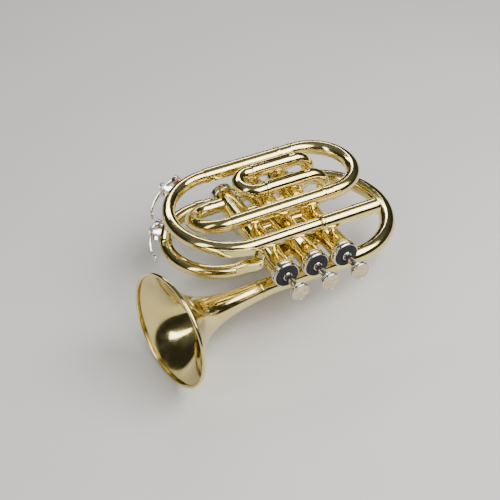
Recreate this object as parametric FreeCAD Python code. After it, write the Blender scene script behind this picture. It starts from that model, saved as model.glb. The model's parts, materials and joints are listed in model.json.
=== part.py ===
"""Compact piston-valve brass horn, lying on its side with its valves level.

Design frame, before the horn is set down on the ground plane:
+X runs from the bell towards the player, +Y runs down the valves from the
finger buttons to the bottom caps, and +Z is up. The origin is the middle of
the second valve's finger button. All sizes are in millimetres.
"""
import FreeCAD
import Part
import math
import os
from FreeCAD import Vector

# Valve block
VALVE_PITCH = 27.0
VALVE_X = [VALVE_PITCH, 0.0, -VALVE_PITCH]      # first valve is nearest the player
CASING_R = 10.0
CASING_BORE_R = 8.56
PISTON_R = 8.5
PISTON_WALL = 1.0
PASSAGE_WALL = 0.6
STEM_R = 2.75
STROKE = 12.0
CAP_R = 11.35
CAP_TOP_Y = 22.6
CAP_PLATE = 2.0
CAP_SKIRT_END_Y = 27.8
FELT_R = 9.8
CASING_FLANGE_Y = 28.2
CASING_FLANGE_LENGTH = 2.0
CASING_FLANGE_R = 10.8
CASING_TOP_Y = CAP_TOP_Y + CAP_PLATE
CASING_END_Y = 140.0
BOTTOM_CAP_R = 11.0
BOTTOM_CAP_START_Y = 134.6
BOTTOM_CAP_END_Y = 142.0
BARREL_R = 7.0
BARREL_TOP_Y = 25.0
PISTON_TOP_Y = 56.0
PISTON_END_Y = 128.0
GUIDE_Y = 53.4
KNUCKLE_Y = [66.0, 84.0]
SPACER_Y = 112.0
SPACER_R = 3.0
BUTTON_R = 7.85
PEARL_R = 7.2
PEARL_SEAT_Y = 1.4
PEARL_DOME_R = 65.0
BUTTON_END_Y = 7.6

# Levels of the three layers of tubing above and below the valve axes
LOOP_Z = 19.0
SLIDE_Z = 24.0
UNDER_Z = -19.0
ELBOW_R = 8.5                   # tight turns under the valves

# Mouthpiece side and main loop
LEADPIPE_Y = 47.0
LOWER_LEG_Y = 79.7
UPPER_LEG_Y = 147.5
LEADPIPE_R = 5.45
MAIN_BOW_R = 5.6
SLEEVE_R = 6.35
INNER_TUBE_R = 5.75
TUBE_WALL = 0.55
RECEIVER_R = 6.45
RECEIVER_START_X = 15.2
RECEIVER_END_X = 69.0
SOCKET_R = 4.95
SOCKET_DEPTH = 26.0
MAIN_BOW_X = -40.0
ENTRY_BOW_X = -48.0
TUNING_BOW_X = 47.5
UPPER_SLEEVE_END_X = 32.0
LOWER_SLEEVE_END_X = 38.0
UPPER_COLLAR_END_X = 44.0
SLIDE_FIT = 0.05
TUNING_ENGAGED = 46.0

# Bell branch
BELL_Y = 37.0
BACK_LEG_Y = 154.0
FRONT_LEG_Y = 66.0
BELL_BOW_X = 45.5
LOOP_BOW_X = -46.0
BELL_BOW_R = 6.9
BELL_TUBE_R = 6.5
LOOP_TUBE_R = 6.05
STEM_END_X = -21.0
STEM_BEND_R = 120.0
BELL_YAW = 10.0                 # the bell leans away from the loops
BELL_RISE = 4.0
BELL_LENGTH = 86.0
THROAT_R = 7.3
RIM_R = 46.0
BELL_WALL = 0.7
RIM_WIRE_R = 1.4
BELL_FLARE = 4.6
BELL_TAPER = 2.2

# Valve slides
FIRST_LEGS_Y = [128.5, 102.0]
FIRST_PORTS_Y = [122.5, 96.0]
FIRST_LEFT_X = -5.0
FIRST_RIGHT_X = 32.0
SECOND_PORTS_Y = [122.0, 94.0]
SECOND_SLEEVE_END_Z = -22.0
THIRD_PORTS_Y = [108.0, 79.0]
THIRD_SLEEVE_END_X = 22.0
SLIDE_TUBE_R = 5.8
SLIDE_INNER_R = 5.2
SLIDE_BOW_WALL = 0.6
SLIDE_GAP = 0.4
SEAT_DEPTH = 3.0
FIRST_ENGAGED = 32.0
SECOND_ENGAGED = 11.0
THIRD_ENGAGED = 34.0
PORT_HOLE_R = 5.0

# Finger hook: angles round the main bow in degrees from its leadpipe end
HOOK_START = 11.0
HOOK_FOOT = 36.0
HOOK_SWEEP = 185.0
HOOK_CURL_R = 10.0
HOOK_TIP = 15.0
HOOK_THICK = 1.5
HOOK_WIDTH = 6.6
FLANGE_R = 4.2

# Braces
PAD_R = 3.6
PAD_LENGTH = 8.0                # also how far from the valve axes the pads start
BRACE_R = 1.8
TIE_X = 12.0
SIDE_TIE_Y = 117.0

# Entry to the third valve
ENTRY_Y = 122.5
ENTRY_Z = 4.0
ENTRY_R = 5.85

X_AXIS = Vector(1, 0, 0)
Y_AXIS = Vector(0, 1, 0)
Z_AXIS = Vector(0, 0, 1)


# Tube tools

def rod(start, heading, length, radius):
    """A solid bar from start along heading."""
    return Part.makeCylinder(radius, length, start, heading)


def pipe(start, heading, length, outer, wall=TUBE_WALL):
    """A straight hollow tube."""
    return rod(start, heading, length, outer).cut(rod(start, heading, length, outer - wall))


def span(start, end, outer, wall=TUBE_WALL):
    """A straight hollow tube from one point to another."""
    run = end - start
    return pipe(start, run, run.Length, outer, wall)


def disc(centre, normal, radius):
    """A flat round face."""
    edge = Part.Circle(centre, normal, radius).toShape()
    return Part.Face(Part.Wire(edge))


def bend(start, heading, towards, radius, angle, outer, wall=TUBE_WALL):
    """A hollow tube that leaves start along heading and turns towards a side."""
    heading = Vector(heading).normalize()
    towards = Vector(towards).normalize()
    centre = start + towards * radius
    axis = heading.cross(towards)
    skin = disc(start, heading, outer).revolve(centre, axis, angle)
    bore = disc(start, heading, outer - wall).revolve(centre, axis, angle)
    return skin.cut(bore)


def ring(centre, heading, inner, outer, length):
    """A ferrule: a short collar that starts at centre."""
    return rod(centre, heading, length, outer).cut(rod(centre, heading, length, inner))


def turned(profile, centre, heading):
    """A solid of revolution from (distance along heading, radius) points."""
    heading = Vector(heading).normalize()
    side = heading.cross(Z_AXIS if abs(heading.z) < 0.9 else X_AXIS)
    points = [centre + heading * along + side * out for along, out in profile]
    wire = Part.makePolygon(points + [points[0]])
    return Part.Face(wire).revolve(centre, heading, 360.0)


def joined(shapes):
    """One solid from several that touch."""
    whole = shapes[0]
    for shape in shapes[1:]:
        whole = whole.fuse(shape)
    return whole.removeSplitter()


def group(shapes):
    """Separate solids kept in one node."""
    return Part.makeCompound(shapes)


def coil(centre, heading, length, radius, wire, turns):
    """A round-wire helical spring that starts at centre."""
    helix = Part.makeHelix(length / turns, length, radius)
    start = Part.Circle(Vector(radius, 0, 0), Y_AXIS, wire).toShape()
    spring = Part.Wire(helix).makePipeShell([Part.Wire(start)], True, True)
    spring.Placement = FreeCAD.Placement(centre, FreeCAD.Rotation(Z_AXIS, heading))
    return spring


# Mouthpiece side and main loop

def leadpipe_point(x):
    return Vector(x, LEADPIPE_Y, LOOP_Z)


def receiver():
    """Receiver: a thick tube with a socket for the mouthpiece shank."""
    length = RECEIVER_END_X - RECEIVER_START_X
    body = rod(leadpipe_point(RECEIVER_START_X), X_AXIS, length, RECEIVER_R)
    lip = ring(leadpipe_point(RECEIVER_END_X - 2.0), X_AXIS, SOCKET_R, RECEIVER_R + 0.35, 2.0)
    socket = rod(leadpipe_point(RECEIVER_END_X), -X_AXIS, SOCKET_DEPTH, SOCKET_R)
    airway = rod(leadpipe_point(RECEIVER_START_X), X_AXIS, length, SOCKET_R - 0.75)
    seat = rod(leadpipe_point(RECEIVER_START_X), X_AXIS, 8.0, LEADPIPE_R)
    return body.fuse(lip).cut(socket).cut(airway).cut(seat).removeSplitter()


def receiver_ring():
    profile = [(0.0, RECEIVER_R), (0.0, 7.2), (0.8, 7.6), (2.2, 7.6), (3.0, 7.2), (3.0, RECEIVER_R)]
    return turned(profile, leadpipe_point(RECEIVER_START_X), X_AXIS)


def leadpipe():
    return span(leadpipe_point(MAIN_BOW_X), leadpipe_point(RECEIVER_START_X + 8.0), LEADPIPE_R)


def main_bow():
    radius = (UPPER_LEG_Y - LEADPIPE_Y) / 2
    return bend(leadpipe_point(MAIN_BOW_X), -X_AXIS, Y_AXIS, radius, 180, MAIN_BOW_R)


def tuning_sleeve(leg_y, start_x, end_x):
    """Fixed outer tube of the tuning slide, with its guard ring at the open end."""
    start = Vector(start_x, leg_y, LOOP_Z)
    tube = span(start, Vector(end_x, leg_y, LOOP_Z), SLEEVE_R)
    guard = ring(Vector(end_x - 3.0, leg_y, LOOP_Z), X_AXIS, SLEEVE_R, SLEEVE_R + 0.45, 3.0)
    return tube.fuse(guard)


def tuning_inner_tube(leg_y, collar_start_x, collar_end_x):
    """Sliding tube of the tuning slide, with the collar that meets the sleeve."""
    bore_fit = SLEEVE_R - TUBE_WALL - SLIDE_FIT
    start = Vector(collar_start_x - TUNING_ENGAGED, leg_y, LOOP_Z)
    collar_start = Vector(collar_start_x + 0.3, leg_y, LOOP_Z)
    end = Vector(collar_end_x, leg_y, LOOP_Z)
    tube = span(start, end, bore_fit)
    collar = ring(collar_start, X_AXIS, bore_fit, SLEEVE_R, collar_end_x - collar_start.x)
    band = ring(end - X_AXIS * 2.0, X_AXIS, SLEEVE_R, SLEEVE_R + 0.4, 2.0)
    return joined([tube, collar, band])


def tuning_bow():
    radius = (UPPER_LEG_Y - LOWER_LEG_Y) / 2
    start = Vector(TUNING_BOW_X, LOWER_LEG_Y, LOOP_Z)
    bow = bend(start, X_AXIS, Y_AXIS, radius, 180, SLEEVE_R)
    stub_start = Vector(UPPER_COLLAR_END_X, UPPER_LEG_Y, LOOP_Z)
    stub = span(stub_start, Vector(TUNING_BOW_X, UPPER_LEG_Y, LOOP_Z), SLEEVE_R)
    return joined([bow, stub])


def entry_plane():
    """Direction from the lower leg's end to the entry tube, and half their distance."""
    run = Vector(0, ENTRY_Y - LOWER_LEG_Y, ENTRY_Z - LOOP_Z)
    return run, run.Length / 2


def entry_bow():
    """Return bow from the lower leg down and round into the third valve."""
    run, radius = entry_plane()
    arc = bend(Vector(ENTRY_BOW_X, LOWER_LEG_Y, LOOP_Z), -X_AXIS, run, radius, 180, ENTRY_R)
    tail = pipe(Vector(ENTRY_BOW_X, ENTRY_Y, ENTRY_Z), X_AXIS, 20.0, ENTRY_R)
    return joined([arc, tail.cut(valve_bar(VALVE_X[2], CASING_R))])


# Valve block

def valve_bar(x, radius, start_y=CASING_TOP_Y, end_y=BOTTOM_CAP_END_Y):
    return rod(Vector(x, start_y, 0), Y_AXIS, end_y - start_y, radius)


def side_hole(x, y, z, heading):
    """A port through one side of a casing."""
    return rod(Vector(x, y, z), heading, CASING_R + 2.0, PORT_HOLE_R)


def guide_pocket(x):
    """Keyway across the casing where the valve guide's wings sit."""
    size = Vector(2 * 9.3, 2.4, 3.2)
    corner = Vector(x - size.x / 2, GUIDE_Y - 0.2, -size.z / 2)
    return Part.makeBox(size.x, size.y, size.z, corner)


def casing(x, ports):
    body = valve_bar(x, CASING_R, CASING_TOP_Y, CASING_END_Y)
    flange_end = CASING_FLANGE_Y + CASING_FLANGE_LENGTH
    body = body.fuse(valve_bar(x, CASING_FLANGE_R, CASING_FLANGE_Y, flange_end))
    body = body.cut(valve_bar(x, CASING_BORE_R, CASING_TOP_Y, CASING_END_Y))
    for port in ports:
        body = body.cut(port)
    return body.cut(guide_pocket(x))


def casing_ports():
    """The ports of each valve, first to third."""
    first, second, third = VALVE_X
    near, far = KNUCKLE_Y
    knuckles = [side_hole(third, near, 0, X_AXIS), side_hole(second, near, 0, -X_AXIS)]
    knuckles += [side_hole(second, far, 0, X_AXIS), side_hole(first, far, 0, -X_AXIS)]
    first_ports = [side_hole(first, y, 0, X_AXIS) for y in FIRST_PORTS_Y]
    first_ports += [knuckles[3], side_hole(first, FRONT_LEG_Y, 0, -Z_AXIS)]
    second_ports = [side_hole(second, y, 0, -Z_AXIS) for y in SECOND_PORTS_Y]
    second_ports += [knuckles[1], knuckles[2]]
    third_ports = [side_hole(third, y, 0, -Z_AXIS) for y in THIRD_PORTS_Y]
    third_ports += [knuckles[0], side_hole(third, ENTRY_Y, ENTRY_Z, -X_AXIS)]
    return [first_ports, second_ports, third_ports]


def knuckles():
    """Short tubes that carry the air from one valve to the next, and the spacers beside them."""
    third, second, first = VALVE_X[2], VALVE_X[1], VALVE_X[0]
    pieces = []
    for x, y in [(third, KNUCKLE_Y[0]), (second, KNUCKLE_Y[1])]:
        pieces.append(pipe(Vector(x, y, 0), X_AXIS, VALVE_PITCH, SLIDE_TUBE_R))
    for x, y in [(third, KNUCKLE_Y[1]), (second, KNUCKLE_Y[0]), (third, SPACER_Y), (second, SPACER_Y)]:
        pieces.append(rod(Vector(x, y, 0), X_AXIS, VALVE_PITCH, SPACER_R))
    bars = [valve_bar(x, CASING_R) for x in (third, second, first)]
    return group([piece.cut(bars[0]).cut(bars[1]).cut(bars[2]) for piece in pieces])


def top_cap(x):
    """Cap with a raised collar round the stem."""
    outer = [(0, 4.0), (-2.0, 4.0), (-2.0, 3.2), (CAP_PLATE, 3.2), (CAP_PLATE, CASING_R)]
    skirt = CAP_SKIRT_END_Y - CAP_TOP_Y
    outer += [(skirt, CASING_R), (skirt, CAP_R - 0.7), (skirt - 0.9, CAP_R)]
    outer += [(0.9, CAP_R), (0, CAP_R - 0.9)]
    return turned(outer, Vector(x, CAP_TOP_Y, 0), Y_AXIS)


def cap_felt(x):
    return ring(Vector(x, CAP_TOP_Y - 0.8, 0), Y_AXIS, 4.1, FELT_R, 0.8)


def bottom_cap(x):
    depth = BOTTOM_CAP_END_Y - BOTTOM_CAP_START_Y
    floor = depth - 1.5
    shape = [(0, CASING_R), (0, 10.6), (0.8, BOTTOM_CAP_R), (depth - 1.2, BOTTOM_CAP_R), (depth, 9.4)]
    shape += [(depth, 1.5), (floor, 1.5), (floor, 8.4), (depth - 2.0, 8.4), (depth - 2.0, CASING_R)]
    return turned(shape, Vector(x, BOTTOM_CAP_START_Y, 0), Y_AXIS)


def button(x):
    """Spool-shaped finger button with a recess for the pearl."""
    shape = [(PEARL_SEAT_Y, 0), (PEARL_SEAT_Y, PEARL_R), (0.3, PEARL_R), (0.3, 7.5)]
    shape += [(0.8, BUTTON_R), (2.2, BUTTON_R), (2.7, 7.2), (3.0, 6.1), (3.8, 6.1)]
    shape += [(4.1, 7.0), (4.9, 7.0), (5.4, 4.6), (BUTTON_END_Y, 4.1), (BUTTON_END_Y, STEM_R)]
    shape += [(4.0, STEM_R), (4.0, 0)]
    return turned(shape, Vector(x, 0, 0), Y_AXIS)


def pearl(x):
    """Inlay with a gently domed face."""
    dome = Part.makeSphere(PEARL_DOME_R, Vector(x, PEARL_DOME_R, 0))
    return rod(Vector(x, -1.0, 0), Y_AXIS, 1.0 + PEARL_SEAT_Y, PEARL_R).common(dome)


def stem(x):
    return rod(Vector(x, 4.0, 0), Y_AXIS, BARREL_TOP_Y - 4.0, STEM_R)


def piston_ports(x, radius, reach):
    """Cross passages through the piston: a straight one and two slanted ones."""
    across = [(KNUCKLE_Y[0], KNUCKLE_Y[0]), (KNUCKLE_Y[1], FIRST_PORTS_Y[1]), (ENTRY_Y, SPACER_Y)]
    bars = []
    for left_y, right_y in across:
        start = Vector(x - reach, left_y, 0)
        run = Vector(x + reach, right_y, 0) - start
        bars.append(rod(start, run, run.Length, radius))
    return bars


def piston(x):
    """Hollow piston with its cross passages and the slotted spring barrel on top."""
    skin = valve_bar(x, PISTON_R, PISTON_TOP_Y, PISTON_END_Y)
    core_start = PISTON_TOP_Y + 1.5
    body = skin.cut(valve_bar(x, PISTON_R - PISTON_WALL, core_start, PISTON_END_Y - 1.2))
    for passage in piston_ports(x, PORT_HOLE_R + PASSAGE_WALL, PISTON_R + 4.0):
        body = body.fuse(passage.common(skin))
    for airway in piston_ports(x, PORT_HOLE_R, PISTON_R + 6.0):
        body = body.cut(airway)
    barrel = valve_bar(x, BARREL_R, BARREL_TOP_Y, PISTON_TOP_Y)
    barrel = barrel.cut(valve_bar(x, BARREL_R - 0.8, BARREL_TOP_Y + 1.6, PISTON_TOP_Y))
    slot_start = GUIDE_Y - STROKE - 0.6
    slot = Part.makeBox(20, PISTON_TOP_Y - slot_start, 4.0, Vector(x - 10, slot_start, -2.0))
    return body.fuse(barrel.cut(slot)).removeSplitter()


def valve_guide(x):
    """Star-shaped guide that keeps the piston from turning and carries the spring."""
    hub = valve_bar(x, BARREL_R - 1.2, GUIDE_Y, GUIDE_Y + 2.0)
    wings = Part.makeBox(2 * 9.2, 2.0, 3.0, Vector(x - 9.2, GUIDE_Y, -1.5))
    return hub.fuse(wings).removeSplitter()


def valve_spring(x):
    start_y = BARREL_TOP_Y + 1.6 + 0.6
    length = GUIDE_Y - 0.6 - start_y
    return coil(Vector(x, start_y, 0), Y_AXIS, length, 4.6, 0.4, 7)


# Valve slides

def slide_collar(end, heading, radius=SLIDE_TUBE_R):
    return ring(end, heading, radius, radius + 0.45, 2.5)


def first_port_bends():
    """Tubes from the first valve's side up and back over the valves."""
    bends = []
    for leg_y, port_y in zip(FIRST_LEGS_Y, FIRST_PORTS_Y):
        run = Vector(0, port_y - leg_y, -SLIDE_Z)
        radius = run.Length / 2
        start = Vector(VALVE_X[0] + CASING_R, leg_y, SLIDE_Z)
        arc = bend(start, X_AXIS, run, radius, 180, SLIDE_TUBE_R)
        lead = span(Vector(FIRST_RIGHT_X, leg_y, SLIDE_Z), start, SLIDE_TUBE_R)
        port = pipe(Vector(VALVE_X[0], port_y, 0), X_AXIS, CASING_R, SLIDE_TUBE_R)
        port = port.cut(valve_bar(VALVE_X[0], CASING_R))
        bends.append(joined([lead, arc, port]))
    return group(bends)


def first_sleeves():
    sleeves = []
    for leg_y in FIRST_LEGS_Y:
        start = Vector(FIRST_LEFT_X, leg_y, SLIDE_Z)
        end = Vector(FIRST_RIGHT_X, leg_y, SLIDE_Z)
        tube = span(start, end, SLEEVE_R, SLEEVE_R - SLIDE_INNER_R - SLIDE_FIT)
        sleeves.append(tube.fuse(slide_collar(start, X_AXIS, SLEEVE_R)))
    return group(sleeves)


def slide_bow(ends, heading):
    """Bow of a valve slide: a half turn with a straight socket at each end."""
    first, second = ends
    across = second - first
    near = first + heading * SEAT_DEPTH
    arc = bend(near, heading, across, across.Length / 2, 180, SLIDE_TUBE_R, SLIDE_BOW_WALL)
    sockets = [pipe(end, heading, SEAT_DEPTH, SLIDE_TUBE_R, SLIDE_BOW_WALL) for end in ends]
    return joined([arc] + sockets)


def slide_tubes(ends, heading, engaged):
    """Inner tubes of a valve slide, from their seats in the bow into the sleeves."""
    length = SEAT_DEPTH + SLIDE_GAP + engaged
    return group([pipe(end + heading * SEAT_DEPTH, -heading, length, SLIDE_INNER_R) for end in ends])


def first_slide_ends():
    return [Vector(FIRST_LEFT_X - SLIDE_GAP, y, SLIDE_Z) for y in reversed(FIRST_LEGS_Y)]


def second_slide_ends():
    return [Vector(VALVE_X[1], y, SECOND_SLEEVE_END_Z - SLIDE_GAP) for y in reversed(SECOND_PORTS_Y)]


def third_slide_ends():
    return [Vector(THIRD_SLEEVE_END_X + SLIDE_GAP, y, UNDER_Z) for y in reversed(THIRD_PORTS_Y)]


def second_sleeves():
    sleeves = []
    for port_y in SECOND_PORTS_Y:
        start = Vector(VALVE_X[1], port_y, SECOND_SLEEVE_END_Z)
        tube = pipe(start, Z_AXIS, -SECOND_SLEEVE_END_Z, SLIDE_TUBE_R)
        tube = tube.cut(valve_bar(VALVE_X[1], CASING_R))
        sleeves.append(tube.fuse(slide_collar(start, Z_AXIS)))
    return group(sleeves)


def third_port_elbows():
    """Tubes that drop from the third valve and turn under the other two."""
    elbows = []
    for port_y in THIRD_PORTS_Y:
        end = Vector(VALVE_X[2] + ELBOW_R, port_y, UNDER_Z)
        arc = bend(end, -X_AXIS, Z_AXIS, ELBOW_R, 90, SLIDE_TUBE_R)
        drop = pipe(Vector(VALVE_X[2], port_y, UNDER_Z + ELBOW_R), Z_AXIS, ELBOW_R, SLIDE_TUBE_R)
        elbows.append(joined([arc, drop]).cut(valve_bar(VALVE_X[2], CASING_R)))
    return group(elbows)


def third_sleeves():
    sleeves = []
    for port_y in THIRD_PORTS_Y:
        start = Vector(VALVE_X[2] + ELBOW_R, port_y, UNDER_Z)
        end = Vector(THIRD_SLEEVE_END_X, port_y, UNDER_Z)
        tube = span(start, end, SLIDE_TUBE_R)
        sleeves.append(tube.fuse(slide_collar(end - X_AXIS * 2.5, X_AXIS)))
    return group(sleeves)


# Bell branch

def outlet_tube():
    """From under the first valve, along beneath the casings to the loop bow."""
    x = VALVE_X[0]
    end = Vector(x - ELBOW_R, FRONT_LEG_Y, UNDER_Z)
    arc = bend(end, X_AXIS, Z_AXIS, ELBOW_R, 90, LOOP_TUBE_R)
    rise = pipe(Vector(x, FRONT_LEG_Y, UNDER_Z + ELBOW_R), Z_AXIS, ELBOW_R, LOOP_TUBE_R)
    run = span(Vector(LOOP_BOW_X, FRONT_LEG_Y, UNDER_Z), end, LOOP_TUBE_R)
    return joined([run, arc, rise]).cut(valve_bar(x, CASING_R))


def loop_bow():
    radius = (BACK_LEG_Y - FRONT_LEG_Y) / 2
    start = Vector(LOOP_BOW_X, FRONT_LEG_Y, UNDER_Z)
    return bend(start, -X_AXIS, Y_AXIS, radius, 180, LOOP_TUBE_R)


def back_leg():
    """Slightly conical tube from the loop bow to the bell bow."""
    start = Vector(LOOP_BOW_X, BACK_LEG_Y, UNDER_Z)
    return taper(start, X_AXIS, BELL_BOW_X - LOOP_BOW_X, LOOP_TUBE_R, BELL_TUBE_R)


def taper(start, heading, length, first, last):
    """A hollow conical tube."""
    outer = Part.makeCone(first, last, length, start, heading)
    return outer.cut(Part.makeCone(first - TUBE_WALL, last - TUBE_WALL, length, start, heading))


def bell_bow():
    radius = (BACK_LEG_Y - BELL_Y) / 2
    start = Vector(BELL_BOW_X, BELL_Y, UNDER_Z)
    return bend(start, X_AXIS, Y_AXIS, radius, 180, BELL_BOW_R)


def bell_heading():
    """Direction the bell points, a little off the stem's line."""
    yaw = math.radians(BELL_YAW)
    rise = math.radians(BELL_RISE)
    return Vector(-math.cos(yaw) * math.cos(rise), -math.sin(yaw) * math.cos(rise), math.sin(rise))


def stem_bend():
    """Start, side and angle of the slight bend between the stem and the flare."""
    heading = bell_heading()
    start = Vector(STEM_END_X, BELL_Y, UNDER_Z)
    side = Vector(0, heading.y, heading.z).normalize()
    return start, side, math.degrees(math.acos(-heading.x))


def throat():
    """Where the flare starts."""
    start, side, angle = stem_bend()
    turn = math.radians(angle)
    return start - X_AXIS * (STEM_BEND_R * math.sin(turn)) + side * (STEM_BEND_R * (1 - math.cos(turn)))


def bell_stem():
    """Conical tube from the bell bow, with a slight bend at the bell end."""
    run = taper(Vector(BELL_BOW_X, BELL_Y, UNDER_Z), -X_AXIS, BELL_BOW_X - STEM_END_X, BELL_BOW_R, THROAT_R)
    start, side, angle = stem_bend()
    return joined([run, bend(start, -X_AXIS, side, STEM_BEND_R, angle, THROAT_R)])


def bell_radius(share):
    """Radius of the flare at a share of its length from throat to rim."""
    growth = (math.exp(BELL_FLARE * share) - 1) / (math.exp(BELL_FLARE) - 1)
    return THROAT_R + BELL_TAPER * share + (RIM_R - THROAT_R - BELL_TAPER) * growth


def bell_curve(inset, stations):
    """Spline along the flare, in a frame with the bell pointing along +X."""
    points = [Vector(BELL_LENGTH * share, bell_radius(share) - inset, 0) for share in stations]
    curve = Part.BSplineCurve()
    curve.interpolate(points)
    return curve.toShape()


def bell():
    """Thin flare from the throat to the rim."""
    stations = [0.0, 0.2, 0.4, 0.6, 0.75, 0.87, 0.95, 1.0]
    outer = bell_curve(0.0, stations)
    inner = bell_curve(BELL_WALL, stations)
    ends = [Part.makeLine(outer.Vertexes[i].Point, inner.Vertexes[i].Point) for i in (0, 1)]
    wall = Part.Face(Part.Wire(Part.__sortEdges__([outer, ends[1], inner, ends[0]])))
    return at_throat(wall.revolve(Vector(0, 0, 0), X_AXIS, 360.0))


def bell_rim():
    """Wire rolled into the edge of the flare."""
    centre = Vector(BELL_LENGTH + RIM_WIRE_R, 0, 0)
    return at_throat(Part.makeTorus(RIM_R - BELL_WALL / 2, RIM_WIRE_R, centre, X_AXIS))


def at_throat(shape):
    """Place a shape made along +X so that it leaves the throat along the bell's heading."""
    shape.Placement = FreeCAD.Placement(throat(), FreeCAD.Rotation(X_AXIS, bell_heading()))
    return shape


def ferrules():
    """Plain rings that cover the joints between tubes."""
    rings = [
        bow_ferrule(),
        ring(Vector(ENTRY_BOW_X, ENTRY_Y, ENTRY_Z), X_AXIS, ENTRY_R, ENTRY_R + 0.4, 2.5),
        ring(Vector(LOOP_BOW_X, BACK_LEG_Y, UNDER_Z), X_AXIS, LOOP_TUBE_R + 0.06, 6.9, 7.0),
        ring(Vector(BELL_BOW_X, BACK_LEG_Y, UNDER_Z), -X_AXIS, BELL_TUBE_R, 7.3, 7.0),
        at_throat(ring(Vector(0, 0, 0), X_AXIS, bell_radius(0.04) + 0.05, THROAT_R + 0.7, 3.0)),
    ]
    return group(rings)


def bow_ferrule():
    """Narrow sleeve round the main bow, just past the foot of the finger hook."""
    radius = (UPPER_LEG_Y - LEADPIPE_Y) / 2
    centre = Vector(MAIN_BOW_X, LEADPIPE_Y + radius, LOOP_Z)
    sleeve = bend(leadpipe_point(MAIN_BOW_X), -X_AXIS, Y_AXIS, radius, 3.0, MAIN_BOW_R + 0.35, 0.35)
    sleeve.rotate(centre, -Z_AXIS, HOOK_FOOT + 1.5)
    return sleeve


# Braces, hook and water keys

def post(start, end, start_tube, end_tube):
    """A turned brace between two tubes' centre lines, with a saddle flange on each tube."""
    run = end - start
    length = run.Length
    near = start_tube.reach + 1.3
    far = length - end_tube.reach - 1.3
    middle = length / 2
    shape = [(0, 0), (0, FLANGE_R), (near, FLANGE_R), (near + 1.0, BRACE_R), (middle - 1, BRACE_R)]
    shape += [(middle, BRACE_R + 0.7), (middle + 1, BRACE_R), (far - 1.0, BRACE_R)]
    shape += [(far, FLANGE_R), (length, FLANGE_R), (length, 0)]
    brace = turned(shape, start, run).cut(start_tube.solid).cut(end_tube.solid)
    return max(brace.Solids, key=lambda piece: piece.Volume)


class Tube:
    """The solid a brace is cut to fit, and how far its wall stands from its centre line."""

    def __init__(self, solid, reach):
        self.solid = solid
        self.reach = reach


def pad(centre, heading, neighbours):
    """A short pad soldered between two tubes that nearly touch."""
    block = rod(centre, heading, PAD_LENGTH, PAD_R)
    for neighbour in neighbours:
        block = block.cut(neighbour)
    return block


def long_bar(y, z, radius):
    return rod(Vector(-90, y, z), X_AXIS, 190, radius)


def braces():
    """Braces from the tubing to the valve casings, and from loop to loop."""
    pieces = long_braces()
    for x in (VALVE_X[0], VALVE_X[2]):
        bar = valve_bar(x, CASING_R)
        lead_r = RECEIVER_R if x > 0 else LEADPIPE_R
        lead = long_bar(LEADPIPE_Y, LOOP_Z, lead_r)
        lower = long_bar(LOWER_LEG_Y, LOOP_Z, SLEEVE_R)
        stem_bar = bell_stem().fuse(long_bar(BELL_Y, UNDER_Z, BELL_BOW_R - TUBE_WALL / 2))
        pieces.append(pad(Vector(x, LEADPIPE_Y, PAD_LENGTH), Z_AXIS, [bar, lead]))
        pieces.append(pad(Vector(x, LOWER_LEG_Y, PAD_LENGTH), Z_AXIS, [bar, lower]))
        pieces.append(pad(Vector(x, BELL_Y, -PAD_LENGTH), -Z_AXIS, [bar, stem_bar]))
    return pieces


def long_braces():
    """Braces that tie the outer loops to each other."""
    upper = Tube(long_bar(UPPER_LEG_Y, LOOP_Z, SLEEVE_R), SLEEVE_R)
    cone = Part.makeCone(LOOP_TUBE_R, BELL_TUBE_R, BELL_BOW_X - LOOP_BOW_X,
                         Vector(LOOP_BOW_X, BACK_LEG_Y, UNDER_Z), X_AXIS)
    tie = post(Vector(TIE_X, UPPER_LEG_Y, LOOP_Z), Vector(TIE_X, BACK_LEG_Y, UNDER_Z),
               upper, Tube(cone, BELL_TUBE_R))
    main = Tube(MAIN_KEY.bow(), MAIN_BOW_R)
    loop = Tube(LOOP_KEY.bow(), LOOP_TUBE_R)
    top = bow_point(MAIN_KEY, SIDE_TIE_Y)
    side = post(top, bow_point(LOOP_KEY, SIDE_TIE_Y), main, loop)
    return [tie, side]


def bow_point(seat, y):
    """The point of a bow's centre line at this Y, on its -X side."""
    drop = seat.centre.y - y
    return Vector(seat.centre.x - math.sqrt(seat.bow_radius ** 2 - drop ** 2), y, seat.centre.z)


def pinky_hook():
    """Flat strip soldered along the outside of the main bow and curled over as a finger hook."""
    seat = MAIN_KEY.centre
    foot_r = MAIN_KEY.bow_radius + MAIN_BOW_R
    foot = strip_arc(seat, foot_r, foot_r + HOOK_THICK, -90.0 - HOOK_START, -90.0 - HOOK_FOOT)
    lift = math.radians(HOOK_START)
    leave = Vector(-math.sin(lift), -math.cos(lift), 0)
    curl = seat + leave * (foot_r + HOOK_CURL_R)
    bow_end = 90.0 - HOOK_START - HOOK_SWEEP
    hook = strip_arc(curl, HOOK_CURL_R - HOOK_THICK, HOOK_CURL_R, bow_end, 90.0 - HOOK_START)
    turn = math.radians(bow_end)
    edge = curl + Vector(math.cos(turn), math.sin(turn), 0) * (HOOK_CURL_R - HOOK_THICK / 2)
    along = Vector(math.sin(turn), -math.cos(turn), 0)
    tip = slab(edge, along, HOOK_TIP, HOOK_THICK, HOOK_WIDTH)
    return joined([foot, hook, tip])


def strip_arc(centre, inner, outer, start_angle, end_angle):
    """A curved stretch of strip, on edge, between two angles about +Z from +X."""
    low, high = sorted((start_angle, end_angle))
    base = Vector(centre.x, centre.y, centre.z - HOOK_WIDTH / 2)
    sector = Part.makeCylinder(outer, HOOK_WIDTH, base, Z_AXIS, high - low)
    hole = Part.makeCylinder(inner, HOOK_WIDTH, base, Z_AXIS)
    sector.rotate(base, Z_AXIS, low)
    return sector.cut(hole)


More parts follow.
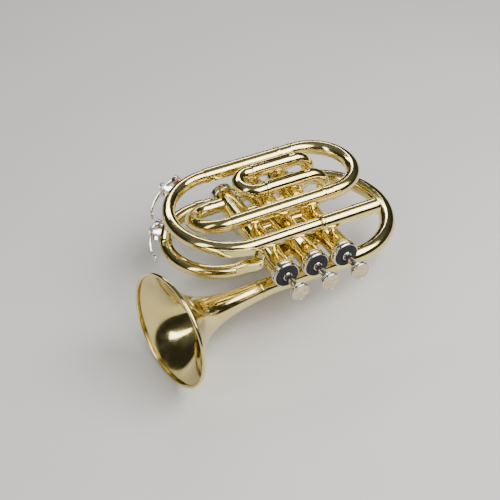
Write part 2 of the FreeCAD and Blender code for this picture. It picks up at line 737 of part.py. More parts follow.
class KeySeat:
    """Where a water key sits on the outside of a bow, by the angle from -X towards +Y."""

    def __init__(self, centre, bow_radius, tube_radius, hinge_angle):
        self.centre = centre
        self.bow_radius = bow_radius
        self.tube_radius = tube_radius
        self.hinge_angle = hinge_angle

    def out(self, angle):
        """Outward direction at an angle round the bow."""
        turn = math.radians(angle)
        return Vector(-math.cos(turn), math.sin(turn), 0)

    def point(self, angle, stand):
        """A point at an angle, this far outside the tube's wall."""
        return self.centre + self.out(angle) * (self.bow_radius + self.tube_radius + stand)

    def bow(self):
        return Part.makeTorus(self.bow_radius, self.tube_radius, self.centre, Z_AXIS)


MAIN_KEY = KeySeat(Vector(MAIN_BOW_X, (UPPER_LEG_Y + LEADPIPE_Y) / 2, LOOP_Z),
                   (UPPER_LEG_Y - LEADPIPE_Y) / 2, MAIN_BOW_R, 50.0)
LOOP_KEY = KeySeat(Vector(LOOP_BOW_X, (BACK_LEG_Y + FRONT_LEG_Y) / 2, UNDER_Z),
                   (BACK_LEG_Y - FRONT_LEG_Y) / 2, LOOP_TUBE_R, 30.0)
CUP_LEAD = 17.0
LEVER_TAIL = 30.0
HINGE_STAND = 6.0
KEY_PIN_R = 1.0
KEY_PIN_FIT = 0.06
CORK_R = 3.4
CUP_R = 4.1
SADDLE_SPREAD = 3.6


def key_nipple(seat):
    """Drain nipple under the cork."""
    angle = seat.hinge_angle + CUP_LEAD
    nipple = rod(seat.point(angle, -1.0), seat.out(angle), 2.6, 2.6)
    hole = rod(seat.point(angle, -1.5), seat.out(angle), 4.0, 1.2)
    return nipple.cut(seat.bow()).cut(hole)


def key_saddle(seat):
    """Two posts that carry the hinge pin."""
    angle = seat.hinge_angle
    hinge = seat.point(angle, HINGE_STAND)
    pieces = []
    for side in (-1, 1):
        base = seat.point(angle, -2.0) + Z_AXIS * (side * SADDLE_SPREAD)
        cheek = slab(base, seat.out(angle), HINGE_STAND + 2.0, 4.2, 1.6)
        knob = rod(hinge + Z_AXIS * (side * SADDLE_SPREAD - 0.8), Z_AXIS, 1.6, 2.1)
        pieces.append(cheek.fuse(knob))
    foot = slab(seat.point(angle, -2.0), seat.out(angle), 3.0, 6.4, 8.8)
    saddle = joined(pieces + [foot]).cut(seat.bow())
    return saddle.cut(rod(hinge - Z_AXIS * 6, Z_AXIS, 12, KEY_PIN_R))


def slab(base, heading, length, wide, tall):
    """A bar along heading, this wide across it in the bow's plane and this tall in Z."""
    box = Part.makeBox(length, wide, tall, Vector(0, -wide / 2, -tall / 2))
    box.Placement = FreeCAD.Placement(base, FreeCAD.Rotation(X_AXIS, heading))
    return box


def key_pin(seat):
    hinge = seat.point(seat.hinge_angle, HINGE_STAND)
    pin = rod(hinge - Z_AXIS * 4.4, Z_AXIS, 8.8, KEY_PIN_R)
    head = rod(hinge + Z_AXIS * 4.4, Z_AXIS, 0.9, 1.7)
    return pin.fuse(head)


def key_lever(seat):
    """Lever with the cork cup at its short end and a round finger pad at its long end."""
    angle = seat.hinge_angle
    hinge = seat.point(angle, HINGE_STAND)
    cup_angle = angle + CUP_LEAD
    cup = ring(seat.point(cup_angle, 3.2), seat.out(cup_angle), CORK_R, CUP_R, 3.0)
    crown = rod(seat.point(cup_angle, 6.2), seat.out(cup_angle), 1.6, CUP_R)
    barrel = rod(hinge - Z_AXIS * 2.5, Z_AXIS, 5.0, 2.3)
    short = link(hinge, seat.point(cup_angle, 7.0), 2.6, 3.2)
    elbow = seat.point(angle - LEVER_TAIL * 0.55, 7.6)
    tail = seat.point(angle - LEVER_TAIL, 8.0)
    arms = [link(hinge, elbow, 2.2, 3.0), rod(elbow - Z_AXIS * 1.5, Z_AXIS, 3.0, 1.1)]
    arms.append(link(elbow, tail, 2.2, 3.0))
    finger = rod(tail - seat.out(angle - LEVER_TAIL) * 1.1, seat.out(angle - LEVER_TAIL), 2.2, 4.0)
    lever = joined([cup, crown, barrel, short] + arms + [finger])
    lever = lever.cut(rod(hinge - Z_AXIS * 6, Z_AXIS, 12, KEY_PIN_R + KEY_PIN_FIT))
    return lever.cut(key_cork(seat))


def link(start, end, wide, tall):
    """A bar between two points in the bow's plane."""
    run = end - start
    return slab(start, run, run.Length, wide, tall)


def key_cork(seat):
    angle = seat.hinge_angle + CUP_LEAD
    return rod(seat.point(angle, 1.9), seat.out(angle), 4.3, CORK_R)


def key_spring(seat):
    """Torsion spring wound beside the hinge barrel."""
    hinge = seat.point(seat.hinge_angle, HINGE_STAND)
    return coil(hinge + Z_AXIS * 5.7, Z_AXIS, 2.4, 1.6, 0.3, 3)


# Assembly

def build():
    """Every node of the horn, by name."""
    nodes = {
        "receiver": receiver(),
        "receiver_ring": receiver_ring(),
        "leadpipe": leadpipe(),
        "main_bow": main_bow(),
        "tuning_sleeves": group([tuning_sleeve(UPPER_LEG_Y, MAIN_BOW_X, UPPER_SLEEVE_END_X),
                                 tuning_sleeve(LOWER_LEG_Y, ENTRY_BOW_X, LOWER_SLEEVE_END_X)]),
        "tuning_tubes": group([tuning_inner_tube(UPPER_LEG_Y, UPPER_SLEEVE_END_X, UPPER_COLLAR_END_X),
                               tuning_inner_tube(LOWER_LEG_Y, LOWER_SLEEVE_END_X, TUNING_BOW_X)]),
        "tuning_bow": tuning_bow(),
        "entry_bow": entry_bow(),
        "valve_knuckles": knuckles(),
        "top_caps": group([top_cap(x) for x in VALVE_X]),
        "cap_felts": group([cap_felt(x) for x in VALVE_X]),
        "bottom_caps": group([bottom_cap(x) for x in VALVE_X]),
        "valve_guides": group([valve_guide(x) for x in VALVE_X]),
        "first_port_bends": first_port_bends(),
        "first_sleeves": first_sleeves(),
        "first_slide_tubes": slide_tubes(first_slide_ends(), -X_AXIS, FIRST_ENGAGED),
        "first_slide_bow": slide_bow(first_slide_ends(), -X_AXIS),
        "second_sleeves": second_sleeves(),
        "second_slide_tubes": slide_tubes(second_slide_ends(), -Z_AXIS, SECOND_ENGAGED),
        "second_slide_bow": slide_bow(second_slide_ends(), -Z_AXIS),
        "third_port_elbows": third_port_elbows(),
        "third_sleeves": third_sleeves(),
        "third_slide_tubes": slide_tubes(third_slide_ends(), X_AXIS, THIRD_ENGAGED),
        "third_slide_bow": slide_bow(third_slide_ends(), X_AXIS),
        "outlet_tube": outlet_tube(),
        "loop_bow": loop_bow(),
        "back_leg": back_leg(),
        "bell_bow": bell_bow(),
        "bell_stem": bell_stem(),
        "bell": bell(),
        "bell_rim": bell_rim(),
        "ferrules": ferrules(),
        "braces": group(braces()),
        "pinky_hook": pinky_hook(),
        "key_nipples": group([key_nipple(MAIN_KEY), key_nipple(LOOP_KEY)]),
        "key_saddles": group([key_saddle(MAIN_KEY), key_saddle(LOOP_KEY)]),
        "key_pins": group([key_pin(MAIN_KEY), key_pin(LOOP_KEY)]),
        "key_springs": group([key_spring(MAIN_KEY), key_spring(LOOP_KEY)]),
        "main_key_lever": key_lever(MAIN_KEY),
        "main_key_cork": key_cork(MAIN_KEY),
        "loop_key_lever": key_lever(LOOP_KEY),
        "loop_key_cork": key_cork(LOOP_KEY),
    }
    for number, (x, ports) in enumerate(zip(VALVE_X, casing_ports()), start=1):
        nodes[f"casing_{number}"] = casing(x, ports)
        nodes[f"piston_{number}"] = piston(x)
        nodes[f"valve_spring_{number}"] = valve_spring(x)
        nodes[f"stem_{number}"] = stem(x)
        nodes[f"button_{number}"] = button(x)
        nodes[f"pearl_{number}"] = pearl(x)
    return nodes


def ground_shift(nodes):
    """Move that puts the middle of the horn's underside at the origin."""
    box = Part.makeCompound(list(nodes.values())).optimalBoundingBox(False)
    return Vector(-(box.XMin + box.XMax) / 2, -(box.YMin + box.YMax) / 2, -box.ZMin)


def main():
    os.makedirs("parts", exist_ok=True)
    nodes = build()
    shift = ground_shift(nodes)
    print("ground shift", [round(value, 4) for value in shift])
    for name, shape in nodes.items():
        shape.translate(shift)
        shape.exportStep(f"parts/{name}.step")


main()
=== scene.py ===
"""Looks of the compact valved horn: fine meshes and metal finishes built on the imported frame."""
import json
import math

import bmesh
import bpy
from mathutils import Matrix, Vector


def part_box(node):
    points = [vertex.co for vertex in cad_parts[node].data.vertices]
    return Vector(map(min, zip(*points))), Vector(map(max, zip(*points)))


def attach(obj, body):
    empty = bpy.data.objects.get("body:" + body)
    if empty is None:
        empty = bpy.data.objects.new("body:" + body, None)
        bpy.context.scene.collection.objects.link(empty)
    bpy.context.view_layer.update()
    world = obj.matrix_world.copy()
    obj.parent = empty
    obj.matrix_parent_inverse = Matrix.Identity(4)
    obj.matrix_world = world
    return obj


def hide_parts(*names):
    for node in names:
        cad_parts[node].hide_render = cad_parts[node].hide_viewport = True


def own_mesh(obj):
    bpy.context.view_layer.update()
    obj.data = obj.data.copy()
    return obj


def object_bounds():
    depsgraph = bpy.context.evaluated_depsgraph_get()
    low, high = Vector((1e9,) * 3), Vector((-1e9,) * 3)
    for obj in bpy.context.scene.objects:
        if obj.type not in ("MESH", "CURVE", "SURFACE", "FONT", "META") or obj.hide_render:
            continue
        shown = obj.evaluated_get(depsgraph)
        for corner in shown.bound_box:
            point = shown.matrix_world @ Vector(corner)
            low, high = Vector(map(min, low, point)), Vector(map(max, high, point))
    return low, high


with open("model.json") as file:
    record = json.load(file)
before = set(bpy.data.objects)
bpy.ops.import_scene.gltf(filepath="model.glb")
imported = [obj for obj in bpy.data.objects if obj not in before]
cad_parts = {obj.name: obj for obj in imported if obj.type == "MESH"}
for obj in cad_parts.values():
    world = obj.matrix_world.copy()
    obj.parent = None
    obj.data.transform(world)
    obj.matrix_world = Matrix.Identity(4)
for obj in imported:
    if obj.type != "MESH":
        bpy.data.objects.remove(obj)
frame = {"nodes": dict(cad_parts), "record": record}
CAD_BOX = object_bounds()

RECORD = frame["record"]
NODES = frame["nodes"]
BODY_OF = {node: body for body, nodes in RECORD["behaviour"]["bodies"].items() for node in nodes}
SLOT_OF = {part["node"]: part["material_slot"] for part in RECORD["subparts"]}

# Everything below is laid out in millimetres from the middle of the second valve's button face:
# +X towards the player, +Y down the valves, +Z up.
MM = 0.001
PEARL_LOW, PEARL_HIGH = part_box("pearl_2")
ORIGIN = Vector(((PEARL_LOW.x + PEARL_HIGH.x) / 2, PEARL_LOW.y, (PEARL_LOW.z + PEARL_HIGH.z) / 2))

X_AXIS = Vector((1, 0, 0))
Y_AXIS = Vector((0, 1, 0))
Z_AXIS = Vector((0, 0, 1))

# Tubing layers and legs
LOOP_Z = 19.0
SLIDE_Z = 24.0
UNDER_Z = -19.0
ELBOW_R = 8.5
LEADPIPE_Y = 47.0
LOWER_LEG_Y = 79.7
UPPER_LEG_Y = 147.5
BELL_Y = 37.0
BACK_LEG_Y = 154.0
FRONT_LEG_Y = 66.0
MAIN_BOW_X = -40.0
ENTRY_BOW_X = -48.0
TUNING_BOW_X = 47.5
UPPER_COLLAR_END_X = 44.0
LOWER_SLEEVE_END_X = 38.0
UPPER_SLEEVE_END_X = 32.0
BELL_BOW_X = 45.5
LOOP_BOW_X = -46.0
ENTRY_Y = 122.5
ENTRY_Z = 4.0
RECEIVER_START_X = 15.2
RECEIVER_END_X = 69.0

# Tube radii
LEADPIPE_R = 5.45
MAIN_BOW_R = 5.6
SLEEVE_R = 6.35
INNER_TUBE_R = 5.75
RECEIVER_R = 6.45
SOCKET_R = 4.95
SOCKET_DEPTH = 26.0
RECEIVER_LIP = 0.35
RECEIVER_STEP = 0.75
LEADPIPE_SEAT = 8.0
GUARD_RISE = 0.45
SLIDE_FIT = 0.05
ENTRY_R = 5.85
SLIDE_TUBE_R = 5.8
SLIDE_INNER_R = 5.2
LOOP_TUBE_R = 6.05
BELL_TUBE_R = 6.5
BELL_BOW_R = 6.9
TUBE_WALL = 0.55
TUNING_ENGAGED = 46.0

# Valve block
VALVE_X = [27.0, 0.0, -27.0]
CASING_R = 10.0
CASING_BORE_R = 8.56
CASING_TOP_Y = 24.6
CASING_END_Y = 140.0
CAP_TOP_Y = 22.6
CAP_R = 11.35
FELT_R = 9.8
FELT_THICK = 0.8
FLANGE_Y = 28.2
FLANGE_LENGTH = 2.0
FLANGE_R = 10.8
STEM_R = 2.75
STEM_START_Y = 4.0
BARREL_TOP_Y = 25.0
PEARL_SEAT_Y = 1.4
PEARL_DOME_R = 65.0
SPRING_START_Y = 27.2
SPRING_END_Y = 52.8
SPRING_R = 4.6
SPRING_WIRE_R = 0.4
SPRING_TURNS = 7
BOTTOM_CAP_START_Y = 134.6
BOTTOM_CAP_R = 11.0
PORT_R = 5.0
PORT_REACH = 8.2                # how near a valve's axis its tubes start, before they are trimmed
BORE_CLEARANCE = 0.08
KNUCKLE_Y = [66.0, 84.0]

# Valve slides
FIRST_LEGS_Y = [128.5, 102.0]
FIRST_PORTS_Y = [122.5, 96.0]
FIRST_LEFT_X = -5.0
FIRST_RIGHT_X = 32.0
FIRST_ENGAGED = 32.0
SECOND_PORTS_Y = [122.0, 94.0]
SECOND_SLEEVE_END_Z = -22.0
SECOND_ENGAGED = 11.0
THIRD_PORTS_Y = [108.0, 79.0]
THIRD_SLEEVE_END_X = 22.0
THIRD_ENGAGED = 34.0
SLIDE_GAP = 0.4
SLIDE_BOW_WALL = 0.6
SEAT_DEPTH = 3.0

# Bell
STEM_END_X = -21.0
STEM_BEND_R = 120.0
BELL_YAW = math.radians(10.0)
BELL_RISE = math.radians(4.0)
BELL_LENGTH = 86.0
THROAT_R = 7.3
RIM_R = 46.0
BELL_WALL = 0.7
RIM_WIRE_R = 1.4
BELL_FLARE = 4.6
BELL_TAPER = 2.2

# Finger hook, in degrees round the main bow from its leadpipe end
HOOK_START = 11.0
HOOK_FOOT = 36.0
HOOK_SWEEP = 185.0
HOOK_CURL_R = 10.0
HOOK_TIP = 15.0
HOOK_THICK = 1.5
HOOK_WIDTH = 6.6

# Mesh fineness
ROUND = 72
LARGE_ROUND = 96
FINE_ROUND = 192
WIRE_ROUND = 12
WELD = 1e-7                     # metres
ARC_STEP = math.radians(2.5)
EDGE_ANGLE = math.radians(32)


# Materials

class Shader:
    """A node material with short calls for the nodes these finishes share."""

    def __init__(self, name):
        self.material = bpy.data.materials.new(name)
        self.material.use_nodes = True
        self.tree = self.material.node_tree
        self.surface = self.tree.nodes["Principled BSDF"]
        self.place = self.tree.nodes.new("ShaderNodeTexCoord").outputs["Object"]

    def set(self, **values):
        for key, value in values.items():
            self.surface.inputs[key.replace("_", " ")].default_value = value

    def noise(self, scale, detail=4.0, stretch=(1, 1, 1)):
        """Noise over the object's own coordinates, with this many features per metre."""
        mapping = self.tree.nodes.new("ShaderNodeMapping")
        mapping.inputs["Scale"].default_value = stretch
        self.tree.links.new(self.place, mapping.inputs["Vector"])
        node = self.tree.nodes.new("ShaderNodeTexNoise")
        node.inputs["Scale"].default_value = scale
        node.inputs["Detail"].default_value = detail
        self.tree.links.new(mapping.outputs["Vector"], node.inputs["Vector"])
        return node.outputs["Fac"]

    def ramp(self, value, stops):
        """Colours or greys along a value, from (position, colour) stops."""
        node = self.tree.nodes.new("ShaderNodeValToRGB")
        ends = node.color_ramp.elements
        for index, (position, colour) in enumerate(stops):
            stop = ends[index] if index < 2 else ends.new(position)
            stop.position = position
            stop.color = (*colour, 1) if isinstance(colour, tuple) else (colour, colour, colour, 1)
        self.tree.links.new(value, node.inputs["Fac"])
        return node.outputs["Color"]

    def wire(self, output, socket):
        self.tree.links.new(output, self.surface.inputs[socket])

    def bump(self, height, strength, distance=0.0002):
        node = self.tree.nodes.new("ShaderNodeBump")
        node.inputs["Strength"].default_value = strength
        node.inputs["Distance"].default_value = distance
        self.tree.links.new(height, node.inputs["Height"])
        self.wire(node.outputs["Normal"], "Normal")


def lacquered_brass():
    """Bright yellow brass under clear lacquer, with handling haze and faint ripples."""
    shader = Shader("lacquered_brass")
    tone = shader.ramp(shader.noise(38), [(0.30, (0.76, 0.62, 0.235)), (0.72, (0.85, 0.73, 0.33))])
    haze = shader.ramp(shader.noise(160, 6.0), [(0.35, 0.085), (0.75, 0.20)])
    shader.wire(tone, "Base Color")
    shader.wire(haze, "Roughness")
    shader.bump(shader.noise(55, 2.0), 0.05)
    shader.set(Metallic=1.0, Coat_Weight=0.35, Coat_Roughness=0.04)
    return shader.material


def nickel_silver():
    """Polished nickel plate with a warm cast and light polishing haze."""
    shader = Shader("nickel_silver")
    tone = shader.ramp(shader.noise(70), [(0.3, (0.64, 0.60, 0.53)), (0.7, (0.80, 0.78, 0.73))])
    haze = shader.ramp(shader.noise(420, 5.0), [(0.35, 0.09), (0.75, 0.22)])
    shader.wire(tone, "Base Color")
    shader.wire(haze, "Roughness")
    shader.bump(shader.noise(900, 3.0), 0.03)
    shader.set(Metallic=1.0)
    return shader.material


def pearl():
    """Cream pearl inlay with soft cloudy bands."""
    shader = Shader("pearl")
    clouds = shader.noise(230, 5.0, (1.0, 1.0, 2.2))
    tone = [(0.30, (0.42, 0.34, 0.19)), (0.52, (0.56, 0.47, 0.29)), (0.75, (0.68, 0.60, 0.42))]
    shader.wire(shader.ramp(clouds, tone), "Base Color")
    shader.wire(shader.ramp(shader.noise(600), [(0.3, 0.22), (0.7, 0.36)]), "Roughness")
    shader.set(Coat_Weight=0.3, Coat_Roughness=0.08)
    return shader.material


def fibre(name, dark, light, scale, rough, depth):
    """Matt fibrous or grainy stuff such as felt and cork."""
    shader = Shader(name)
    grain = shader.noise(scale, 8.0)
    shader.wire(shader.ramp(grain, [(0.35, dark), (0.68, light)]), "Base Color")
    shader.wire(shader.ramp(grain, [(0.2, rough), (0.8, min(1.0, rough + 0.12))]), "Roughness")
    shader.bump(grain, depth)
    return shader.material


def spring_steel():
    shader = Shader("spring_steel")
    drawn = shader.noise(500, 3.0)
    shader.wire(shader.ramp(drawn, [(0.3, (0.42, 0.42, 0.43)), (0.7, (0.62, 0.62, 0.63))]), "Base Color")
    shader.wire(shader.ramp(drawn, [(0.3, 0.22), (0.7, 0.38)]), "Roughness")
    shader.set(Metallic=1.0)
    return shader.material


MATERIALS = {
    "lacquered_brass": lacquered_brass(),
    "nickel_silver": nickel_silver(),
    "pearl": pearl(),
    # felt is near black; on the top caps this black is a painted reflection of dark surroundings in
    # polished cap tops
    "felt": fibre("felt", (0.006, 0.006, 0.008), (0.022, 0.022, 0.026), 1500, 0.86, 0.6),
    "cork": fibre("cork", (0.22, 0.12, 0.06), (0.50, 0.33, 0.19), 1100, 0.80, 0.5),
    "spring_steel": spring_steel(),
    "nylon": fibre("nylon", (0.62, 0.61, 0.56), (0.74, 0.73, 0.69), 700, 0.42, 0.08),
}


# Meshes

def at(x, y, z):
    """A point of the layout in metres, in the frame."""
    return ORIGIN + Vector((x, y, z)) * MM


def skin(loops, closed):
    """Vertices and faces of a skin over equal loops of points, closed end to start or not."""
    vertices = [point for loop in loops for point in loop]
    size = len(loops[0])
    faces = []
    for row in range(len(loops) if closed else len(loops) - 1):
        near = row * size
        far = (row + 1) % len(loops) * size
        for i in range(size):
            j = (i + 1) % size
            faces.append((near + i, near + j, far + j, far + i))
    return vertices, faces


def sweep(path, radii, wall=TUBE_WALL):
    """A hollow tube along a path of layout points, with a radius at each, as (vertices, faces)."""
    frames = carried_frames(path)
    outside = [ring_points(*place, radius, ROUND) for place, radius in zip(frames, radii)]
    inside = [ring_points(*place, radius - wall, ROUND) for place, radius in zip(frames, radii)]
    return skin(outside + inside[::-1], True)


def carried_frames(path):
    """Each point of a path with two cross directions that turn no more than the path does."""
    ends = [path[0]] + path + [path[-1]]
    headings = [(after - before).normalized() for before, after in zip(ends, ends[2:])]
    side = headings[0].cross(Z_AXIS if abs(headings[0].z) < 0.9 else X_AXIS).normalized()
    frames = []
    for point, heading in zip(path, headings):
        side = (side - heading * side.dot(heading)).normalized()
        frames.append((point, side, heading.cross(side)))
    return frames


def ring_points(centre, side, up, radius, segments):
    """Points round a circle, in the frame."""
    points = []
    for i in range(segments):
        turn = math.tau * i / segments
        points.append(at(*(centre + (side * math.cos(turn) + up * math.sin(turn)) * radius)))
    return points


def straight(start, end, steps=2):
    return [start.lerp(end, i / (steps - 1)) for i in range(steps)]


def arc(start, heading, towards, radius, angle):
    """Points along an arc that leaves start along heading and turns towards a side."""
    heading = Vector(heading).normalized()
    towards = Vector(towards).normalized()
    total = math.radians(angle)
    count = max(2, round(total / ARC_STEP))
    points = []
    for i in range(count + 1):
        turn = total * i / count
        sideways = radius * (1 - math.cos(turn))
        points.append(start + heading * (radius * math.sin(turn)) + towards * sideways)
    return points


def chain(*stretches):
    """One path from stretches that meet end to end."""
    path = list(stretches[0])
    for stretch in stretches[1:]:
        path += stretch[1:] if (stretch[0] - path[-1]).length < 0.01 else stretch
    return path


def rounded(profile, radius, steps=3):
    """A closed (along, out) profile with its corners rounded off."""
    points = []
    for i, corner in enumerate(profile):
        here = Vector(corner)
        before = Vector(profile[i - 1]) - here
        after = Vector(profile[(i + 1) % len(profile)]) - here
        cut = min(radius, before.length * 0.45, after.length * 0.45)
        if here.y < 0.01 or cut < 0.01:
            points.append(tuple(here))
            continue
        start = here + before.normalized() * cut
        end = here + after.normalized() * cut
        for step in range(steps + 1):
            t = step / steps
            points.append(tuple(start.lerp(here, t).lerp(here.lerp(end, t), t)))
    return points


def lathe(profile, centre, heading, segments=ROUND, soften=0.2, wave=None):
    """A turned solid from a closed (along, radius) profile, as (vertices, faces).

    wave, if given, changes a point's radius from its (along, radius, angle)."""
    heading = Vector(heading).normalized()
    side = heading.cross(Z_AXIS if abs(heading.z) < 0.9 else X_AXIS).normalized()
    up = heading.cross(side)
    loops = []
    for along, radius in (rounded(profile, soften) if soften else profile):
        loop = []
        for i in range(segments):
            turn = math.tau * i / segments
            reach = wave(along, radius, turn) if wave else radius
            spoke = side * math.cos(turn) + up * math.sin(turn)
            loop.append(at(*(centre + heading * along + spoke * reach)))
        loops.append(loop)
    return skin(loops, True)


def piece(name, parts, node):
    """One object from (vertices, faces) parts that stands for a CAD node."""
    vertices, faces = [], []
    for part_vertices, part_faces in parts:
        offset = len(vertices)
        vertices += part_vertices
        faces += [tuple(index + offset for index in face) for face in part_faces]
    mesh = bpy.data.meshes.new(name)
    mesh.from_pydata(vertices, [], faces)
    obj = bpy.data.objects.new(name, mesh)
    bpy.context.scene.collection.objects.link(obj)
    clean(mesh)
    finish_mesh(mesh, MATERIALS[SLOT_OF[node]])
    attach(obj, BODY_OF[node])
    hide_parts(node)
    return obj


def clean(mesh):
    """Merge the points that meet on an axis and turn every face outwards."""
    work = bmesh.new()
    work.from_mesh(mesh)
    bmesh.ops.remove_doubles(work, verts=work.verts, dist=WELD)
    bmesh.ops.dissolve_degenerate(work, edges=work.edges, dist=WELD / 10)
    bmesh.ops.recalc_face_normals(work, faces=work.faces)
    work.to_mesh(mesh)
    work.free()


def finish_mesh(mesh, material):
    mesh.materials.clear()
    mesh.materials.append(material)
    mesh.shade_smooth()
    mesh.set_sharp_from_angle(angle=EDGE_ANGLE)


def tube(path, radius, wall=TUBE_WALL):
    """A tube of one radius, or of a radius that runs evenly from first to last."""
    first, last = radius if isinstance(radius, tuple) else (radius, radius)
    lengths = [0.0]
    for before, after in zip(path, path[1:]):
        lengths.append(lengths[-1] + (after - before).length)
    radii = [first + (last - first) * run / lengths[-1] for run in lengths]
    return sweep(path, radii, wall)


def band(centre, heading, inner, outer, length, soften=0.35):
    """A ferrule with rounded edges that starts at centre."""
    profile = [(0, inner), (0, outer), (length, outer), (length, inner)]
    return lathe(profile, centre, heading, soften=soften)


# Mouthpiece side and main loop

def lead(x):
    return Vector((x, LEADPIPE_Y, LOOP_Z))


def main_loop():
    length = RECEIVER_END_X - RECEIVER_START_X
    seat = length - SOCKET_DEPTH
    lip_r = RECEIVER_R + RECEIVER_LIP
    airway_r = SOCKET_R - RECEIVER_STEP
    profile = [(0, LEADPIPE_R), (0, RECEIVER_R), (length - 2.0, RECEIVER_R), (length - 2.0, lip_r)]
    profile += [(length, lip_r), (length, SOCKET_R), (seat, SOCKET_R), (seat, airway_r)]
    profile += [(LEADPIPE_SEAT, airway_r), (LEADPIPE_SEAT, LEADPIPE_R)]
    piece("receiver_fine", [lathe(profile, lead(RECEIVER_START_X), X_AXIS)], "receiver")
    collar = [(0.0, RECEIVER_R), (0.0, 7.2), (0.8, 7.6), (2.2, 7.6), (3.0, 7.2), (3.0, RECEIVER_R)]
    piece("receiver_ring_fine", [lathe(collar, lead(RECEIVER_START_X), X_AXIS)], "receiver_ring")
    run = straight(lead(MAIN_BOW_X), lead(RECEIVER_START_X + LEADPIPE_SEAT))
    piece("leadpipe_fine", [tube(run, LEADPIPE_R)], "leadpipe")
    radius = (UPPER_LEG_Y - LEADPIPE_Y) / 2
    turn = arc(lead(MAIN_BOW_X), -X_AXIS, Y_AXIS, radius, 180)
    piece("main_bow_fine", [tube(turn, MAIN_BOW_R)], "main_bow")


def tuning_slide():
    sleeves = []
    for leg_y, start_x, end_x in [(UPPER_LEG_Y, MAIN_BOW_X, UPPER_SLEEVE_END_X),
                                  (LOWER_LEG_Y, ENTRY_BOW_X, LOWER_SLEEVE_END_X)]:
        length = end_x - start_x
        guard_r = SLEEVE_R + GUARD_RISE
        profile = [(0, SLEEVE_R - TUBE_WALL), (0, SLEEVE_R), (length - 3.0, SLEEVE_R)]
        profile += [(length - 3.0, guard_r), (length, guard_r), (length, SLEEVE_R - TUBE_WALL)]
        sleeves.append(lathe(profile, Vector((start_x, leg_y, LOOP_Z)), X_AXIS))
    piece("tuning_sleeves_fine", sleeves, "tuning_sleeves")
    inner = []
    for leg_y, start_x, end_x in [(UPPER_LEG_Y, UPPER_SLEEVE_END_X, UPPER_COLLAR_END_X),
                                  (LOWER_LEG_Y, LOWER_SLEEVE_END_X, TUNING_BOW_X)]:
        inner.append(tuning_tube(leg_y, start_x, end_x))
    piece("tuning_tubes_fine", inner, "tuning_tubes")
    radius = (UPPER_LEG_Y - LOWER_LEG_Y) / 2
    turn = arc(Vector((TUNING_BOW_X, LOWER_LEG_Y, LOOP_Z)), X_AXIS, Y_AXIS, radius, 180)
    stub = straight(turn[-1], Vector((UPPER_COLLAR_END_X, UPPER_LEG_Y, LOOP_Z)))
    piece("tuning_bow_fine", [tube(chain(turn, stub), SLEEVE_R)], "tuning_bow")


def tuning_tube(leg_y, sleeve_end_x, end_x):
    """Inner tube with the collar that meets the sleeve."""
    bore_r = INNER_TUBE_R - TUBE_WALL
    length = end_x - sleeve_end_x + TUNING_ENGAGED
    collar = TUNING_ENGAGED + 0.3
    profile = [(0, bore_r), (0, INNER_TUBE_R), (collar, INNER_TUBE_R), (collar, SLEEVE_R)]
    profile += [(length - 2.0, SLEEVE_R), (length - 2.0, SLEEVE_R + 0.4), (length, SLEEVE_R + 0.4)]
    profile += [(length, bore_r)]
    return lathe(profile, Vector((sleeve_end_x - TUNING_ENGAGED, leg_y, LOOP_Z)), X_AXIS)


def entry():
    start = Vector((ENTRY_BOW_X, LOWER_LEG_Y, LOOP_Z))
    end = Vector((ENTRY_BOW_X, ENTRY_Y, ENTRY_Z))
    turn = arc(start, -X_AXIS, end - start, (end - start).length / 2, 180)
    tail = straight(end, end + X_AXIS * (VALVE_X[2] - PORT_REACH - ENTRY_BOW_X))
    drilled(piece("entry_bow_fine", [tube(chain(turn, tail), ENTRY_R)], "entry_bow"), [bore(3)])


# Valve block

def drilled(obj, holes):
    """Cut round holes, given as (start, heading, length, radius), through a piece."""
    for start, heading, length, radius in holes:
        vertices, faces = lathe([(0, 0), (0, radius), (length, radius), (length, 0)], start, heading, 48, 0)
        mesh = bpy.data.meshes.new("drill")
        mesh.from_pydata(vertices, [], faces)
        clean(mesh)
        drill = bpy.data.objects.new("drill", mesh)
        bpy.context.scene.collection.objects.link(drill)
        cut = obj.modifiers.new("port", "BOOLEAN")
        cut.object = drill
        cut.solver = "EXACT"
        bpy.context.view_layer.update()
        depsgraph = bpy.context.evaluated_depsgraph_get()
        shaped = bpy.data.meshes.new_from_object(obj.evaluated_get(depsgraph))
        obj.modifiers.clear()
        obj.data = shaped
        bpy.data.objects.remove(drill)
    finish_mesh(obj.data, obj.data.materials[0])


def ports(number):
    """Holes in one casing: the knuckles to its neighbours and its slide's ports."""
    x = VALVE_X[number - 1]
    near, far = KNUCKLE_Y
    plan = {
        1: [(y, 0, X_AXIS) for y in FIRST_PORTS_Y] + [(far, 0, -X_AXIS), (FRONT_LEG_Y, 0, -Z_AXIS)],
        2: [(y, 0, -Z_AXIS) for y in SECOND_PORTS_Y] + [(near, 0, -X_AXIS), (far, 0, X_AXIS)],
        3: [(y, 0, -Z_AXIS) for y in THIRD_PORTS_Y] + [(near, 0, X_AXIS), (ENTRY_Y, ENTRY_Z, -X_AXIS)],
    }
    return [(Vector((x, y, z)), heading, CASING_R + 2.0, PORT_R) for y, z, heading in plan[number]]


def bore(number):
    """The hole that keeps a tube's end out of this valve's casing bore."""
    start = Vector((VALVE_X[number - 1], CASING_TOP_Y, 0))
    return start, Y_AXIS, CASING_END_Y - CASING_TOP_Y, CASING_BORE_R + BORE_CLEARANCE


def knurl(crest_from, crest_to, teeth, depth):
    """Fine ribs round a stretch of a cap's edge."""
    def wave(along, radius, turn):
        if crest_from <= along <= crest_to and radius > CASING_R:
            return radius - depth * (0.5 - 0.5 * math.cos(teeth * turn))
        return radius
    return wave


